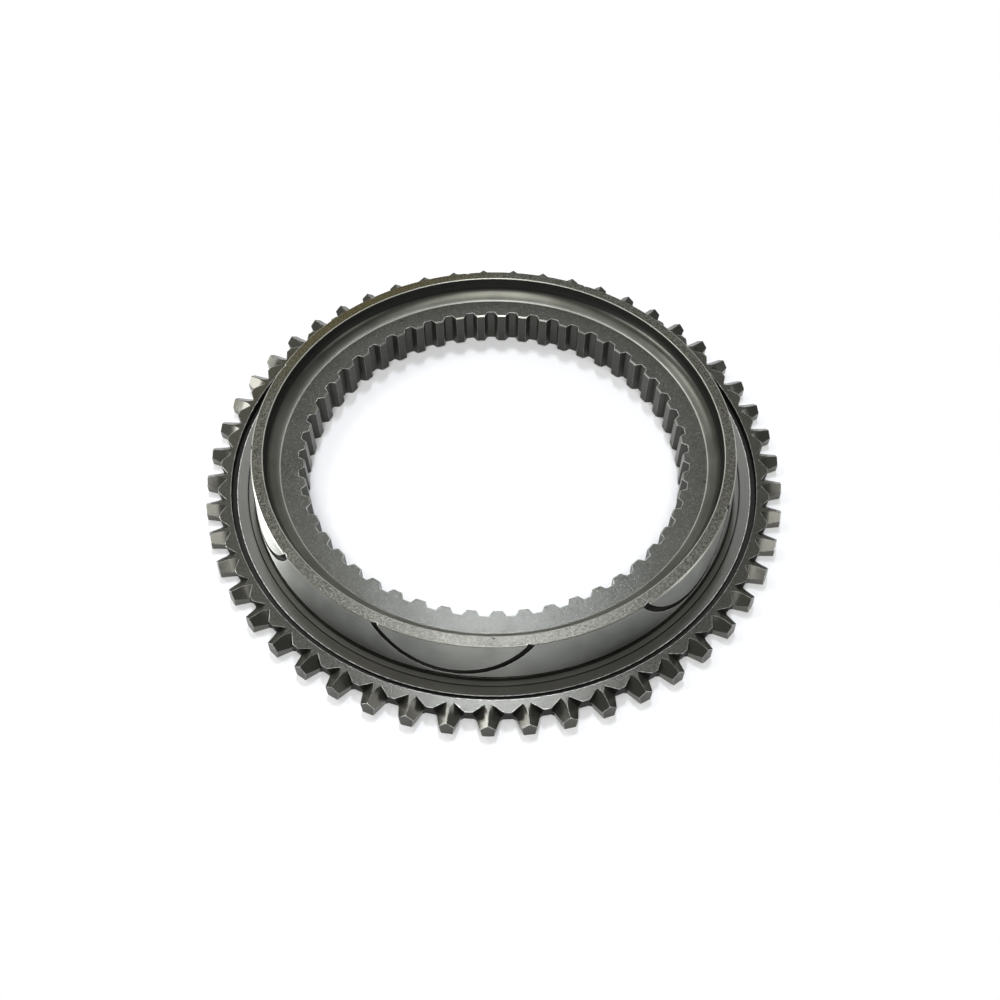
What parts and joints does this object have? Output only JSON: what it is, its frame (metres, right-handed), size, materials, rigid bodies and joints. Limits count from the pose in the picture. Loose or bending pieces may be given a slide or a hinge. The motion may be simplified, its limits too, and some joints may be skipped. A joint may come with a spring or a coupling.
{
  "type": "synchroniser clutch body ring",
  "caption": "Ring that joins a gear to a synchroniser: pointed dog teeth outside, friction cone with oil grooves, internal spline.",
  "frame": {"origin": "centre of the ring on its flat back face", "axes": "+Z along the ring's axis, from the back face towards the rim of the cone; +X through the middle of a dog tooth"},
  "size_m": [0.1564, 0.1566, 0.016],
  "materials": {
    "forged_steel": "case-hardened alloy steel, blasted, with turned and ground faces and a film of oil"
  },
  "bodies": {
    "root": {"clutch_body_ring": "forged_steel"}
  },
  "joints": []
}
